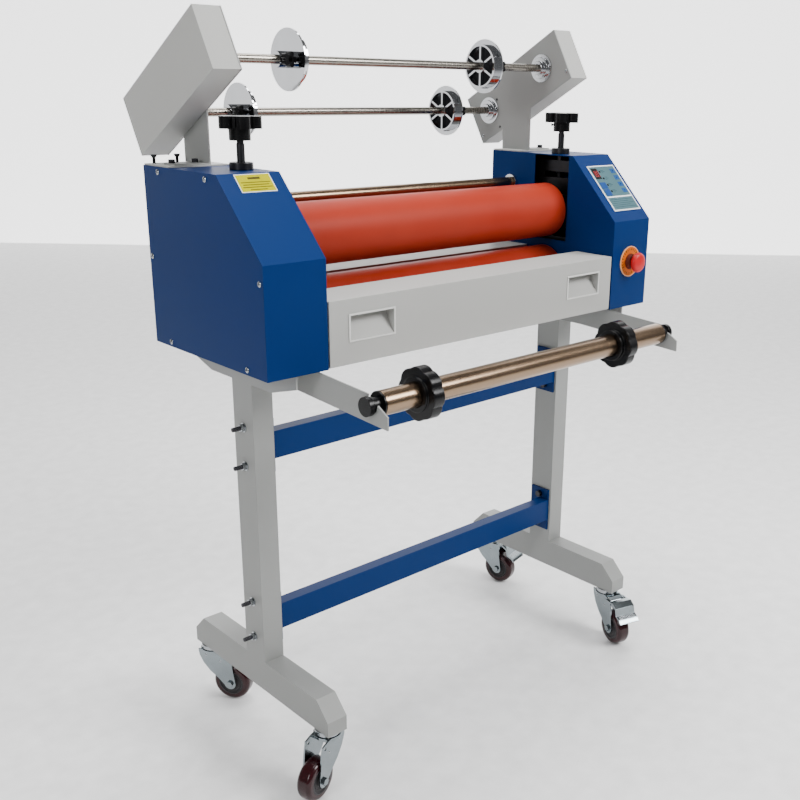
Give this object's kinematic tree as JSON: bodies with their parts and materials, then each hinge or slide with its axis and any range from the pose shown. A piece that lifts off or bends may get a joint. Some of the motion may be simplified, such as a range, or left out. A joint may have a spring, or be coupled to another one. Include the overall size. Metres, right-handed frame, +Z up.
{
  "type": "cold roll laminator",
  "caption": "Cold roll laminator on a caster stand, with rubber rollers, film supply shafts, feed tray and take-up tube.",
  "frame": {"origin": "on the floor, under the centre of the machine's bounding box", "axes": "+X along the rollers to the operator's right, -Y towards the operator, +Z up"},
  "size_m": [0.938, 0.6269, 1.2918],
  "materials": {
    "grey_paint": "light warm grey powder coat, fine texture",
    "blue_paint": "gloss blue powder coat",
    "dark_steel": "blackened steel",
    "steel": "brushed and ground",
    "chrome": "bright plating",
    "zinc": "bright zinc plating",
    "orange_rubber": "ground silicone rubber, matte",
    "bronze_tube": "warm polished stainless tube",
    "black_plastic": "moulded, slightly glossy",
    "panel_film": "printed film, satin",
    "yellow_plastic": "moulded ring",
    "red_plastic": "moulded, glossy",
    "motor_paint": "black enamel",
    "brass": "machined",
    "maroon_wheel": "cast polyurethane on grey rims",
    "white_top": "light grey powder coat"
  },
  "bodies": {
    "root": {"stand_left": "grey_paint", "stand_right": "grey_paint", "upper_beam": "blue_paint", "lower_beam": "blue_paint", "fasteners": "dark_steel", "saddle_left": "grey_paint", "saddle_right": "grey_paint", "cover_left": "blue_paint", "cover_right": "blue_paint", "panel_left": "blue_paint", "panel_right": "blue_paint", "frame_left": "blue_paint", "frame_right": "blue_paint", "top_plates": "white_top", "base_plate": "grey_paint", "post_left": "grey_paint", "post_right": "grey_paint", "box_left": "grey_paint", "box_right": "grey_paint", "bushings": "chrome", "control_panel": "panel_film", "estop_base": "yellow_plastic", "gear_motor": "motor_paint", "power_unit": "motor_paint", "caster_stems": "zinc"},
    "estop_button": {"estop_button": "red_plastic"},
    "motor_pinion": {"motor_pinion": "brass"},
    "lower_roller": {"lower_core": "steel", "lower_rubber": "orange_rubber"},
    "pressure_carriage": {"bearing_blocks": "steel"},
    "upper_roller": {"upper_core": "steel", "upper_rubber": "orange_rubber"},
    "handwheel_left": {"handwheel_left": "black_plastic"},
    "handwheel_right": {"handwheel_right": "black_plastic"},
    "rear_roller": {"rear_roller": "steel"},
    "supply_front": {"supply_shaft_front": "steel"},
    "supply_rear": {"supply_shaft_rear": "steel"},
    "disc_front_left": {"disc_front_left": "chrome"},
    "disc_front_right": {"disc_front_right": "chrome"},
    "disc_rear_left": {"disc_rear_left": "chrome"},
    "disc_rear_right": {"disc_rear_right": "chrome"},
    "thumb_knob_front_left": {"thumb_knob_front_left": "black_plastic"},
    "thumb_knob_front_right": {"thumb_knob_front_right": "black_plastic"},
    "thumb_knob_rear_left": {"thumb_knob_rear_left": "black_plastic"},
    "thumb_knob_rear_right": {"thumb_knob_rear_right": "black_plastic"},
    "takeup_plugs": {"takeup_plugs": "black_plastic"},
    "takeup_tube": {"takeup_tube": "bronze_tube"},
    "takeup_wheel_left": {"takeup_wheel_left": "black_plastic"},
    "takeup_wheel_right": {"takeup_wheel_right": "black_plastic"},
    "feed_tray": {"feed_tray": "grey_paint"},
    "fork_front_left": {"fork_front_left": "zinc"},
    "wheel_front_left": {"wheel_front_left": "maroon_wheel"},
    "fork_front_right": {"fork_front_right": "zinc"},
    "wheel_front_right": {"wheel_front_right": "maroon_wheel"},
    "brake_front_right": {"brake_front_right": "zinc"},
    "fork_back_left": {"fork_back_left": "zinc"},
    "wheel_back_left": {"wheel_back_left": "maroon_wheel"},
    "fork_back_right": {"fork_back_right": "zinc"},
    "wheel_back_right": {"wheel_back_right": "maroon_wheel"},
    "brake_back_right": {"brake_back_right": "zinc"}
  },
  "joints": [
    {"name": "pressure_lift", "type": "slide", "parent": "root", "child": "pressure_carriage", "axis": [0, 0, 1], "range_m": [-0.0175, 0.01]},
    {"name": "upper_roller_spin", "type": "hinge", "parent": "pressure_carriage", "child": "upper_roller", "pos_m": [0, 0.0295, 0.936], "axis": [1, 0, 0], "continuous": true},
    {"name": "lower_roller_spin", "type": "hinge", "parent": "root", "child": "lower_roller", "pos_m": [0, 0.0295, 0.808], "axis": [1, 0, 0], "continuous": true},
    {"name": "motor_pinion_spin", "type": "hinge", "parent": "root", "child": "motor_pinion", "pos_m": [0.403, 0.08146, 0.838], "axis": [1, 0, 0], "continuous": true},
    {"name": "handwheel_left_turn", "type": "hinge", "parent": "root", "child": "handwheel_left", "pos_m": [-0.384, 0.0295, 1.09], "axis": [0, 0, 1], "range_deg": [-1580, 905]},
    {"name": "handwheel_right_turn", "type": "hinge", "parent": "root", "child": "handwheel_right", "pos_m": [0.384, 0.0295, 1.09], "axis": [0, 0, 1], "range_deg": [-1580, 905]},
    {"name": "rear_roller_spin", "type": "hinge", "parent": "root", "child": "rear_roller", "pos_m": [0, 0.1375, 0.984], "axis": [1, 0, 0], "continuous": true},
    {"name": "supply_front_spin", "type": "hinge", "parent": "root", "child": "supply_front", "pos_m": [0, 0.092, 1.217], "axis": [1, 0, 0], "continuous": true},
    {"name": "supply_rear_spin", "type": "hinge", "parent": "root", "child": "supply_rear", "pos_m": [0, 0.2419, 1.129], "axis": [1, 0, 0], "continuous": true},
    {"name": "disc_front_left_slide", "type": "slide", "parent": "supply_front", "child": "disc_front_left", "axis": [1, 0, 0], "range_m": [-0.088, 0.18]},
    {"name": "thumb_knob_front_left_turn", "type": "hinge", "parent": "disc_front_left", "child": "thumb_knob_front_left", "pos_m": [-0.262, 0.072, 1.217], "axis": [0, -1, 0], "range_deg": [-360, 360]},
    {"name": "disc_front_right_slide", "type": "slide", "parent": "supply_front", "child": "disc_front_right", "axis": [1, 0, 0], "range_m": [-0.165, 0.115]},
    {"name": "thumb_knob_front_right_turn", "type": "hinge", "parent": "disc_front_right", "child": "thumb_knob_front_right", "pos_m": [0.233, 0.072, 1.217], "axis": [0, -1, 0], "range_deg": [-360, 360]},
    {"name": "disc_rear_left_slide", "type": "slide", "parent": "supply_rear", "child": "disc_rear_left", "axis": [1, 0, 0], "range_m": [-0.083, 0.185]},
    {"name": "thumb_knob_rear_left_turn", "type": "hinge", "parent": "disc_rear_left", "child": "thumb_knob_rear_left", "pos_m": [-0.2685, 0.2219, 1.129], "axis": [0, -1, 0], "range_deg": [-360, 360]},
    {"name": "disc_rear_right_slide", "type": "slide", "parent": "supply_rear", "child": "disc_rear_right", "axis": [1, 0, 0], "range_m": [-0.19, 0.08]},
    {"name": "thumb_knob_rear_right_turn", "type": "hinge", "parent": "disc_rear_right", "child": "thumb_knob_rear_right", "pos_m": [0.27, 0.2219, 1.129], "axis": [0, -1, 0], "range_deg": [-360, 360]},
    {"name": "takeup_lift", "type": "slide", "parent": "root", "child": "takeup_plugs", "axis": [0, -0.3697, 0.9291], "range_m": [0, 0.06]},
    {"name": "takeup_spin", "type": "hinge", "parent": "takeup_plugs", "child": "takeup_tube", "pos_m": [0, -0.2695, 0.723], "axis": [1, 0, 0], "continuous": true},
    {"name": "takeup_wheel_left_slide", "type": "slide", "parent": "takeup_tube", "child": "takeup_wheel_left", "axis": [1, 0, 0], "range_m": [-0.06, 0.19]},
    {"name": "takeup_wheel_right_slide", "type": "slide", "parent": "takeup_tube", "child": "takeup_wheel_right", "axis": [1, 0, 0], "range_m": [-0.17, 0.1]},
    {"name": "feed_tray_pull", "type": "slide", "parent": "root", "child": "feed_tray", "axis": [0, -1, 0], "range_m": [0, 0.08]},
    {"name": "estop_press", "type": "slide", "parent": "root", "child": "estop_button", "axis": [0, 1, 0], "range_m": [0, 0.005]},
    {"name": "caster_front_left_swivel", "type": "hinge", "parent": "root", "child": "fork_front_left", "pos_m": [-0.386, -0.1625, 0.11], "axis": [0, 0, 1], "continuous": true},
    {"name": "caster_front_left_roll", "type": "hinge", "parent": "fork_front_left", "child": "wheel_front_left", "pos_m": [-0.42404, -0.17486, 0.0375], "axis": [0.309, -0.9511, 0], "continuous": true},
    {"name": "caster_front_right_swivel", "type": "hinge", "parent": "root", "child": "fork_front_right", "pos_m": [0.386, -0.1625, 0.11], "axis": [0, 0, 1], "continuous": true},
    {"name": "caster_front_right_roll", "type": "hinge", "parent": "fork_front_right", "child": "wheel_front_right", "pos_m": [0.3743, -0.20075, 0.0375], "axis": [0.9563, -0.2924, 0], "continuous": true},
    {"name": "brake_front_right_press", "type": "hinge", "parent": "fork_front_right", "child": "brake_front_right", "pos_m": [0.37606, -0.19501, 0.098], "axis": [0.9563, -0.2924, 0], "range_deg": [0, 12]},
    {"name": "caster_back_left_swivel", "type": "hinge", "parent": "root", "child": "fork_back_left", "pos_m": [-0.386, 0.2175, 0.11], "axis": [0, 0, 1], "continuous": true},
    {"name": "caster_back_left_roll", "type": "hinge", "parent": "fork_back_left", "child": "wheel_back_left", "pos_m": [-0.36421, 0.18395, 0.0375], "axis": [0.8387, 0.5446, 0], "continuous": true},
    {"name": "caster_back_right_swivel", "type": "hinge", "parent": "root", "child": "fork_back_right", "pos_m": [0.386, 0.2175, 0.11], "axis": [0, 0, 1], "continuous": true},
    {"name": "caster_back_right_roll", "type": "hinge", "parent": "fork_back_right", "child": "wheel_back_right", "pos_m": [0.39568, 0.17869, 0.0375], "axis": [0.9703, 0.2419, 0], "continuous": true},
    {"name": "brake_back_right_press", "type": "hinge", "parent": "fork_back_right", "child": "brake_back_right", "pos_m": [0.39422, 0.18451, 0.098], "axis": [0.9703, 0.2419, 0], "range_deg": [0, 12]}
  ],
  "couplings": [
    {"joint": "motor_pinion_spin", "follows": "lower_roller_spin", "ratio": -2},
    {"joint": "handwheel_left_turn", "follows": "pressure_lift", "rad_per_m": 1570.8},
    {"joint": "handwheel_right_turn", "follows": "pressure_lift", "rad_per_m": 1570.8}
  ]
}
